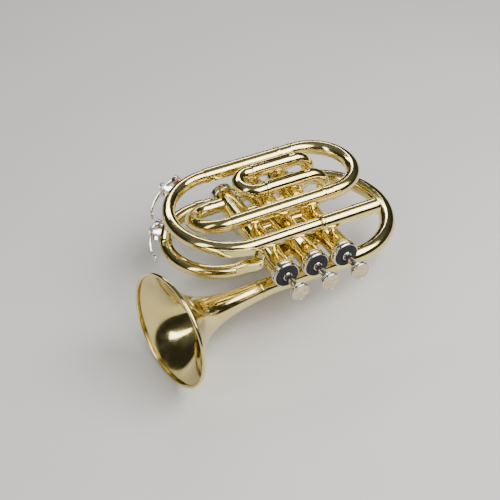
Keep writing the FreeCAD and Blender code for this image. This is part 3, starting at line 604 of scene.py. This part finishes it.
def valves():
    piece("top_caps_fine", [top_cap(x) for x in VALVE_X], "top_caps")
    # the felt discs on the caps are real parts whose near-black colour is a painted reflection of dark
    # surroundings
    piece("cap_felts_fine", [cap_felt_dark_reflection(x) for x in VALVE_X], "cap_felts")
    piece("bottom_caps_fine", [bottom_cap(x) for x in VALVE_X], "bottom_caps")
    for number, x in enumerate(VALVE_X, 1):
        drilled(piece(f"casing_{number}_fine", [casing(x)], f"casing_{number}"), ports(number))
        piece(f"stem_{number}_fine", [stem(x)], f"stem_{number}")
        piece(f"button_{number}_fine", [button(x)], f"button_{number}")
        piece(f"pearl_{number}_fine", [inlay(x)], f"pearl_{number}")
        spring = piece(f"valve_spring_{number}_fine", [coil(x)], f"valve_spring_{number}")
        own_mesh(spring)


def casing(x):
    """Tube with a narrow flange just under the top cap."""
    length = CASING_END_Y - CASING_TOP_Y
    ledge = FLANGE_Y - CASING_TOP_Y
    wall = [(0, CASING_BORE_R), (0, CASING_R), (ledge, CASING_R), (ledge, FLANGE_R)]
    wall += [(ledge + FLANGE_LENGTH, FLANGE_R), (ledge + FLANGE_LENGTH, CASING_R)]
    wall += [(length, CASING_R), (length, CASING_BORE_R)]
    return lathe(wall, Vector((x, CASING_TOP_Y, 0)), Y_AXIS, LARGE_ROUND)


def stem(x):
    length = BARREL_TOP_Y - STEM_START_Y
    rod = [(0, 0), (0, STEM_R), (length, STEM_R), (length, 0)]
    return lathe(rod, Vector((x, STEM_START_Y, 0)), Y_AXIS)


def coil(x):
    """Round-wire spring between the piston's barrel and its guide."""
    steps = 36 * SPRING_TURNS
    path = []
    for i in range(steps + 1):
        turn = math.tau * SPRING_TURNS * i / steps
        along = SPRING_START_Y + (SPRING_END_Y - SPRING_START_Y) * i / steps
        path.append(Vector((x + SPRING_R * math.cos(turn), along, SPRING_R * math.sin(turn))))
    loops = [ring_points(*place, SPRING_WIRE_R, WIRE_ROUND) for place in carried_frames(path)]
    vertices, faces = skin(loops, False)
    near_end = tuple(range(WIRE_ROUND))
    far_end = tuple(range(len(vertices) - 1, len(vertices) - 1 - WIRE_ROUND, -1))
    return vertices, faces + [near_end, far_end]


def top_cap(x):
    """Cap with a collar round the stem, a grooved edge and a recess for the felt."""
    profile = [(0.5, 3.9), (-1.5, 3.9), (-2.0, 3.5), (-2.0, 3.2), (2.0, 3.2), (2.0, CASING_R)]
    profile += [(5.2, CASING_R), (5.2, 10.8), (4.8, CAP_R), (4.2, CAP_R), (3.9, 10.95), (3.6, 10.95)]
    profile += [(3.3, CAP_R), (1.7, CAP_R), (0.7, 11.05), (0.1, 10.5), (0.0, 10.1), (0.0, 9.95)]
    profile += [(0.5, 9.85)]
    return lathe(profile, Vector((x, CAP_TOP_Y, 0)), Y_AXIS, FINE_ROUND, 0.18)


# Felt disc on each top cap: the felt ring is a real part, its near-black colour is a painted reflection of
# dark surroundings in a polished cap top
def cap_felt_dark_reflection(x):
    return band(Vector((x, CAP_TOP_Y - FELT_THICK, 0)), Y_AXIS, 4.1, FELT_R, FELT_THICK, 0.25)


def bottom_cap(x):
    """Cap with a knurled edge and a drain hole."""
    depth = 7.4
    profile = [(0, CASING_R), (0, 10.6), (0.8, BOTTOM_CAP_R), (depth - 1.4, BOTTOM_CAP_R)]
    profile += [(depth - 0.5, 10.4), (depth, 9.4), (depth - 0.5, 8.4), (depth - 0.6, 5.6)]
    profile += [(depth, 4.8), (depth, 1.5), (depth - 1.5, 1.5), (depth - 1.5, 8.4)]
    profile += [(depth - 2.0, 8.4), (depth - 2.0, CASING_R)]
    centre = Vector((x, BOTTOM_CAP_START_Y, 0))
    return lathe(profile, centre, Y_AXIS, FINE_ROUND, 0.18, knurl(1.6, 4.9, 48, 0.3))


def button(x):
    """Spool-shaped finger button with a recess for the pearl."""
    profile = [(PEARL_SEAT_Y, 0), (PEARL_SEAT_Y, 7.2), (0.3, 7.2), (0.3, 7.5), (0.8, 7.85), (2.2, 7.85)]
    profile += [(2.7, 7.2), (3.0, 6.1), (3.8, 6.1), (4.1, 7.0), (4.9, 7.0), (5.4, 4.6), (7.6, 4.1)]
    profile += [(7.6, STEM_R), (STEM_START_Y, STEM_R), (STEM_START_Y, 0)]
    return lathe(profile, Vector((x, 0, 0)), Y_AXIS, LARGE_ROUND, 0.25)


def inlay(x):
    """Pearl with a gently domed face."""
    steps = 8
    profile = []
    for i in range(steps + 1):
        out = 7.0 * i / steps
        profile.append((PEARL_DOME_R - math.sqrt(PEARL_DOME_R ** 2 - out ** 2), out))
    profile += [(0.5, 7.15), (0.7, 7.18), (PEARL_SEAT_Y, 7.18), (PEARL_SEAT_Y, 0)]
    return lathe(profile, Vector((x, 0, 0)), Y_AXIS, LARGE_ROUND, 0)


# Valve slides

def slide(name, ends, heading, engaged):
    """Bow with straight sockets, and its two inner tubes."""
    first, second = ends
    near, far = first + heading * SEAT_DEPTH, second + heading * SEAT_DEPTH
    turn = arc(near, heading, far - near, (far - near).length / 2, 180)
    path = chain(straight(first, near), turn, straight(far, second))
    piece(f"{name}_slide_bow_fine", [tube(path, SLIDE_TUBE_R, SLIDE_BOW_WALL)], f"{name}_slide_bow")
    length = SEAT_DEPTH + SLIDE_GAP + engaged
    inner = []
    for end in ends:
        seat = end + heading * SEAT_DEPTH
        inner.append(tube(straight(seat, end + heading * (SEAT_DEPTH - length)), SLIDE_INNER_R))
    piece(f"{name}_slide_tubes_fine", inner, f"{name}_slide_tubes")


def sleeve(start, heading, length, radius):
    """Outer tube of a valve slide, with a guard ring at its open end, which is at start."""
    bore_r = SLIDE_INNER_R + SLIDE_FIT
    guard_r = radius + GUARD_RISE
    profile = [(0, bore_r), (0, guard_r), (2.5, guard_r), (2.5, radius)]
    profile += [(length, radius), (length, bore_r)]
    return lathe(profile, start, heading)


def first_slide():
    ends = [Vector((FIRST_LEFT_X - SLIDE_GAP, y, SLIDE_Z)) for y in reversed(FIRST_LEGS_Y)]
    slide("first", ends, -X_AXIS, FIRST_ENGAGED)
    sleeves = [sleeve(Vector((FIRST_LEFT_X, y, SLIDE_Z)), X_AXIS, FIRST_RIGHT_X - FIRST_LEFT_X,
                      SLEEVE_R) for y in FIRST_LEGS_Y]
    piece("first_sleeves_fine", sleeves, "first_sleeves")
    bends = []
    for leg_y, port_y in zip(FIRST_LEGS_Y, FIRST_PORTS_Y):
        run = Vector((0, port_y - leg_y, -SLIDE_Z))
        start = Vector((VALVE_X[0] + CASING_R, leg_y, SLIDE_Z))
        turn = arc(start, X_AXIS, run, run.length / 2, 180)
        lead_in = straight(Vector((FIRST_RIGHT_X, leg_y, SLIDE_Z)), start)
        lead_out = straight(turn[-1], Vector((VALVE_X[0] + PORT_REACH, port_y, 0)))
        bends.append(tube(chain(lead_in, turn, lead_out), SLIDE_TUBE_R))
    drilled(piece("first_port_bends_fine", bends, "first_port_bends"), [bore(1)])


def second_slide():
    x = VALVE_X[1]
    ends = [Vector((x, y, SECOND_SLEEVE_END_Z - SLIDE_GAP)) for y in reversed(SECOND_PORTS_Y)]
    slide("second", ends, -Z_AXIS, SECOND_ENGAGED)
    sleeves = [sleeve(Vector((x, y, SECOND_SLEEVE_END_Z)), Z_AXIS, -SECOND_SLEEVE_END_Z - PORT_REACH,
                      SLIDE_TUBE_R) for y in SECOND_PORTS_Y]
    drilled(piece("second_sleeves_fine", sleeves, "second_sleeves"), [bore(2)])


def third_slide():
    ends = [Vector((THIRD_SLEEVE_END_X + SLIDE_GAP, y, UNDER_Z)) for y in reversed(THIRD_PORTS_Y)]
    slide("third", ends, X_AXIS, THIRD_ENGAGED)
    start_x = VALVE_X[2] + ELBOW_R
    sleeves = [sleeve(Vector((THIRD_SLEEVE_END_X, y, UNDER_Z)), -X_AXIS, THIRD_SLEEVE_END_X - start_x,
                      SLIDE_TUBE_R) for y in THIRD_PORTS_Y]
    piece("third_sleeves_fine", sleeves, "third_sleeves")
    elbows = [elbow(VALVE_X[2], 1, y, SLIDE_TUBE_R) for y in THIRD_PORTS_Y]
    drilled(piece("third_port_elbows_fine", elbows, "third_port_elbows"), [bore(3)])


def elbow(x, way, y, radius, run_to=None):
    """Tube from under a casing that turns to run level, towards +X if way is 1."""
    top = Vector((x, y, -PORT_REACH))
    corner = Vector((x, y, UNDER_Z + ELBOW_R))
    turn = arc(corner, -Z_AXIS, X_AXIS * way, ELBOW_R, 90)
    path = chain(straight(top, corner), turn)
    if run_to is not None:
        path = chain(path, straight(path[-1], Vector((run_to, y, UNDER_Z))))
    return tube(path, radius)


# Bell branch

def bell_heading():
    flat = math.cos(BELL_RISE)
    return Vector((-math.cos(BELL_YAW) * flat, -math.sin(BELL_YAW) * flat, math.sin(BELL_RISE)))


def stem_bend():
    """The slight bend between the stem and the flare, as points."""
    heading = bell_heading()
    side = Vector((0, heading.y, heading.z)).normalized()
    start = Vector((STEM_END_X, BELL_Y, UNDER_Z))
    return arc(start, -X_AXIS, side, STEM_BEND_R, math.degrees(math.acos(-heading.x)))


def bell_radius(share):
    """Radius of the flare at a share of its length from throat to rim."""
    growth = (math.exp(BELL_FLARE * share) - 1) / (math.exp(BELL_FLARE) - 1)
    return THROAT_R + BELL_TAPER * share + (RIM_R - THROAT_R - BELL_TAPER) * growth


def bell_branch():
    outlet = elbow(VALVE_X[0], -1, FRONT_LEG_Y, LOOP_TUBE_R, LOOP_BOW_X)
    drilled(piece("outlet_tube_fine", [outlet], "outlet_tube"), [bore(1)])
    loop_start = Vector((LOOP_BOW_X, FRONT_LEG_Y, UNDER_Z))
    loop = arc(loop_start, -X_AXIS, Y_AXIS, (BACK_LEG_Y - FRONT_LEG_Y) / 2, 180)
    piece("loop_bow_fine", [tube(loop, LOOP_TUBE_R)], "loop_bow")
    back = straight(Vector((LOOP_BOW_X, BACK_LEG_Y, UNDER_Z)), Vector((BELL_BOW_X, BACK_LEG_Y, UNDER_Z)))
    piece("back_leg_fine", [tube(back, (LOOP_TUBE_R, BELL_TUBE_R))], "back_leg")
    bow_start = Vector((BELL_BOW_X, BELL_Y, UNDER_Z))
    bow = arc(bow_start, X_AXIS, Y_AXIS, (BACK_LEG_Y - BELL_Y) / 2, 180)
    piece("bell_bow_fine", [tube(bow, BELL_BOW_R)], "bell_bow")
    run = straight(bow_start, Vector((STEM_END_X, BELL_Y, UNDER_Z)))
    turn = stem_bend()
    radii = [BELL_BOW_R, THROAT_R] + [THROAT_R] * (len(turn) - 1)
    piece("bell_stem_fine", [sweep(chain(run, turn), radii)], "bell_stem")
    throat = turn[-1]
    heading = bell_heading()
    piece("bell_fine", [flare(throat, heading)], "bell")
    piece("bell_rim_fine", [rim_wire(throat, heading)], "bell_rim")
    ferrules(throat, heading)


def flare(throat, heading):
    """Thin flare, with more stations where it opens fastest."""
    stations = 72
    shares = [1 - (1 - i / stations) ** 1.5 for i in range(stations + 1)]
    outside = [(BELL_LENGTH * s, bell_radius(s)) for s in shares]
    inside = [(along, radius - BELL_WALL) for along, radius in reversed(outside)]
    return lathe(outside + inside, throat, heading, FINE_ROUND, 0)


def rim_wire(throat, heading):
    """Round wire rolled into the flare's edge."""
    sides = 24
    profile = []
    for i in range(sides):
        turn = math.tau * i / sides
        along = BELL_LENGTH + RIM_WIRE_R + RIM_WIRE_R * math.cos(turn)
        profile.append((along, RIM_R - BELL_WALL / 2 + RIM_WIRE_R * math.sin(turn)))
    return lathe(profile, throat, heading, FINE_ROUND, 0)


def ferrules(throat, heading):
    """Plain rings that cover the joints between tubes."""
    radius = (UPPER_LEG_Y - LEADPIPE_Y) / 2
    whole = arc(lead(MAIN_BOW_X), -X_AXIS, Y_AXIS, radius, 180)
    first = round(20 / math.degrees(ARC_STEP))
    rings = [
        tube(whole[first:first + 2], MAIN_BOW_R + 0.35, 0.35),
        band(Vector((ENTRY_BOW_X, ENTRY_Y, ENTRY_Z)), X_AXIS, ENTRY_R, ENTRY_R + 0.4, 2.5),
        band(Vector((LOOP_BOW_X, BACK_LEG_Y, UNDER_Z)), X_AXIS, LOOP_TUBE_R + 0.06, 6.9, 7.0),
        band(Vector((BELL_BOW_X, BACK_LEG_Y, UNDER_Z)), -X_AXIS, BELL_TUBE_R, 7.3, 7.0),
        band(throat, heading, THROAT_R + 0.05, THROAT_R + 0.7, 3.0),
    ]
    piece("ferrules_fine", rings, "ferrules")


# Finger hook

def finger_hook():
    """Rounded strip that follows the main bow and curls over."""
    bow_r = (UPPER_LEG_Y - LEADPIPE_Y) / 2
    centre = Vector((MAIN_BOW_X, LEADPIPE_Y + bow_r, LOOP_Z))
    foot_r = bow_r + MAIN_BOW_R + HOOK_THICK / 2
    foot_steps = range(int(HOOK_FOOT - HOOK_START) + 1)
    path = [centre + round_z(-90 - HOOK_FOOT + step, foot_r) for step in foot_steps]
    curl_r = HOOK_CURL_R - HOOK_THICK / 2
    curl = centre + round_z(-90 - HOOK_START, foot_r + curl_r)
    curl_steps = range(3, int(HOOK_SWEEP) + 1, 3)
    path += [curl + round_z(90 - HOOK_START - step, curl_r) for step in curl_steps]
    last = path[-1] + (path[-1] - path[-2]).normalized() * HOOK_TIP
    path += straight(path[-1], last, 6)[1:]
    piece("pinky_hook_fine", [strip(path)], "pinky_hook")


def round_z(degrees, radius):
    """Step from a centre to its circle, at an angle about +Z from +X."""
    turn = math.radians(degrees)
    return Vector((math.cos(turn), math.sin(turn), 0)) * radius


def strip(path, thick=HOOK_THICK, width=HOOK_WIDTH):
    """A flat strip on edge along a level path, with rounded edges and a rounded tip."""
    half_t, half_w = thick / 2, width / 2
    corner = 0.5
    section = []
    for cx, cy, start in [(1, 1, 0), (-1, 1, 90), (-1, -1, 180), (1, -1, 270)]:
        for step in range(5):
            turn = math.radians(start + 22.5 * step)
            section.append((cx * (half_t - corner) + corner * math.cos(turn),
                            cy * (half_w - corner) + corner * math.sin(turn)))
    loops = []
    for index, (point, side, _) in enumerate(carried_frames(path)):
        to_tip = len(path) - 1 - index
        narrow = min(1.0, 0.55 + 0.15 * to_tip)
        loops.append([at(*(point + side * across + Z_AXIS * (tall * narrow))) for across, tall in section])
    vertices, faces = skin(loops, False)
    faces.append(tuple(range(len(section) - 1, -1, -1)))
    faces.append(tuple(range(len(vertices) - len(section), len(vertices))))
    return vertices, faces


# Water keys

class KeySeat:
    """Where a water key sits on the outside of a bow, by the angle from -X towards +Y."""

    def __init__(self, name, bow_x, first_leg_y, last_leg_y, z, tube_r, hinge_angle):
        self.name = name
        self.bow_r = (last_leg_y - first_leg_y) / 2
        self.centre = Vector((bow_x, first_leg_y + self.bow_r, z))
        self.tube_r = tube_r
        self.hinge_angle = hinge_angle

    def out(self, angle):
        turn = math.radians(angle)
        return Vector((-math.cos(turn), math.sin(turn), 0))

    def point(self, angle, stand):
        """A point at an angle, this far outside the tube's wall."""
        return self.centre + self.out(angle) * (self.bow_r + self.tube_r + stand)


KEY_SEATS = [
    KeySeat("main", MAIN_BOW_X, LEADPIPE_Y, UPPER_LEG_Y, LOOP_Z, MAIN_BOW_R, 50.0),
    KeySeat("loop", LOOP_BOW_X, FRONT_LEG_Y, BACK_LEG_Y, UNDER_Z, LOOP_TUBE_R, 30.0),
]
CUP_LEAD = 17.0
LEVER_TAIL = 30.0
HINGE_STAND = 6.0
TAIL_STAND = 8.0
CUP_STAND = 7.0
PIN_HOLE_R = 1.06
CORK_R = 3.4


def water_key(seat):
    """Lever with a domed cork cup at one end and a round finger pad at the other."""
    cup_angle = seat.hinge_angle + CUP_LEAD
    tail_angle = seat.hinge_angle - LEVER_TAIL
    cup_shape = [(0, CORK_R), (0, 4.1), (2.9, 4.1), (3.3, 3.9), (3.9, 3.2), (4.4, 2.0), (4.6, 0)]
    cup_shape += [(3.0, 0), (3.0, CORK_R)]
    cup = lathe(cup_shape, seat.point(cup_angle, 3.2), seat.out(cup_angle))
    hinge = seat.point(seat.hinge_angle, HINGE_STAND)
    barrel_shape = [(0, PIN_HOLE_R), (0, 2.3), (5.0, 2.3), (5.0, PIN_HOLE_R)]
    barrel = lathe(barrel_shape, hinge - Z_AXIS * 2.5, Z_AXIS)
    short = ease(seat, cup_angle, seat.hinge_angle + 3.0, CUP_STAND, HINGE_STAND + 1.0)
    long = ease(seat, seat.hinge_angle - 2.5, tail_angle, HINGE_STAND + 0.6, TAIL_STAND)
    pad_shape = [(0, 0), (0, 3.4), (0.5, 4.0), (1.5, 4.0), (2.0, 3.3), (2.2, 1.8), (2.2, 0)]
    pad = lathe(pad_shape, seat.point(tail_angle, TAIL_STAND - 1.1), seat.out(tail_angle))
    parts = [cup, barrel, strip(short, 2.0, 3.0), strip(long, 1.7, 3.0), pad]
    piece(f"{seat.name}_key_lever_fine", parts, f"{seat.name}_key_lever")
    cork = [(0, 0), (0, CORK_R), (4.3, CORK_R), (4.3, 0)]
    stopper = lathe(cork, seat.point(cup_angle, 1.9), seat.out(cup_angle), soften=0.4)
    piece(f"{seat.name}_key_cork_fine", [stopper], f"{seat.name}_key_cork")


def ease(seat, from_angle, to_angle, from_stand, to_stand):
    """A smooth path round the bow from one standing height to another."""
    steps = 12
    path = []
    for i in range(steps + 1):
        share = i / steps
        lift = 0.5 - 0.5 * math.cos(math.pi * share)
        stand = from_stand + (to_stand - from_stand) * lift
        path.append(seat.point(from_angle + (to_angle - from_angle) * share, stand))
    return path


# Pieces that keep their CAD shape

def dress_cad_nodes():
    """Finish for the braces, knuckles, pistons, guides and small key parts."""
    for name, node in NODES.items():
        if not node.hide_render:
            finish_mesh(node.data, MATERIALS[SLOT_OF[name]])


# Floor, light and camera

def plain(name, colour, rough):
    """Matt paint with a faint mottle."""
    shader = Shader(name)
    lighter = tuple(channel * 1.03 for channel in colour)
    shader.wire(shader.ramp(shader.noise(6), [(0.3, colour), (0.7, lighter)]), "Base Color")
    shader.set(Roughness=rough)
    return shader.material


def floor():
    low = CAD_BOX[0]
    size = 4.0
    mesh = bpy.data.meshes.new("floor")
    corners = [(-size, -size), (size, -size), (size, size), (-size, size)]
    mesh.from_pydata([(x, y, low.z) for x, y in corners], [], [(0, 1, 2, 3)])
    mesh.materials.append(plain("floor_paint", (0.62, 0.61, 0.59), 0.6))
    sheet = bpy.data.objects.new("floor", mesh)
    bpy.context.scene.collection.objects.link(sheet)


def aim(obj, place, target):
    obj.location = place
    obj.rotation_euler = (target - place).to_track_quat("-Z", "Y").to_euler()
    bpy.context.scene.collection.objects.link(obj)


def softbox(name, place, size, power, colour=(1, 1, 1)):
    """Area light at a place from the horn's middle, turned towards it."""
    light = bpy.data.lights.new(name, "AREA")
    light.shape = "RECTANGLE"
    light.size, light.size_y = size
    light.energy = power
    light.color = colour
    aim(bpy.data.objects.new(name, light), middle() + Vector(place), middle())


def middle():
    return (CAD_BOX[0] + CAD_BOX[1]) / 2


def lights():
    """Large key over the buttons, two weak strips, and a dim sky."""
    softbox("key", (0.38, -0.50, 0.90), (1.3, 0.75), 25, (1.0, 0.985, 0.96))
    softbox("side", (-0.95, -0.25, 0.75), (0.25, 0.9), 5)
    softbox("back", (0.15, 0.95, 0.75), (0.9, 0.12), 4)
    world = bpy.data.worlds.new("studio")
    world.use_nodes = True
    tree = world.node_tree
    place = tree.nodes.new("ShaderNodeTexCoord")
    split = tree.nodes.new("ShaderNodeSeparateXYZ")
    ramp = tree.nodes.new("ShaderNodeValToRGB")
    stops = ramp.color_ramp.elements
    stops[0].position, stops[0].color = 0.0, (0.03, 0.028, 0.026, 1)
    stops[1].position, stops[1].color = 0.95, (0.16, 0.165, 0.175, 1)
    stop = stops.new(0.45)
    stop.color = (0.035, 0.034, 0.033, 1)
    tree.links.new(place.outputs["Generated"], split.inputs["Vector"])
    tree.links.new(split.outputs["Z"], ramp.inputs["Fac"])
    tree.links.new(ramp.outputs["Color"], tree.nodes["Background"].inputs["Color"])
    bpy.context.scene.world = world


def camera():
    """Camera at the viewing angle, looking down across the buttons."""
    back = Vector((-0.3452, -0.6775, 0.6494)).normalized()
    right = Vector((0.8910, -0.4540, 0)).normalized()
    up = back.cross(right)
    distance = 778.0
    place = right * -63.41 + up * 25.21 + back * distance
    lens = bpy.data.cameras.new("camera")
    lens.sensor_width = 36
    lens.lens = 72
    lens.clip_start = 0.01
    eye = bpy.data.objects.new("camera", lens)
    turn = Matrix((right, up, back)).transposed().to_4x4()
    eye.matrix_world = Matrix.Translation(at(*place)) @ turn
    bpy.context.scene.collection.objects.link(eye)
    bpy.context.scene.camera = eye


main_loop()
tuning_slide()
entry()
valves()
first_slide()
second_slide()
third_slide()
bell_branch()
finger_hook()
for key_seat in KEY_SEATS:
    water_key(key_seat)
dress_cad_nodes()
floor()
lights()
camera()
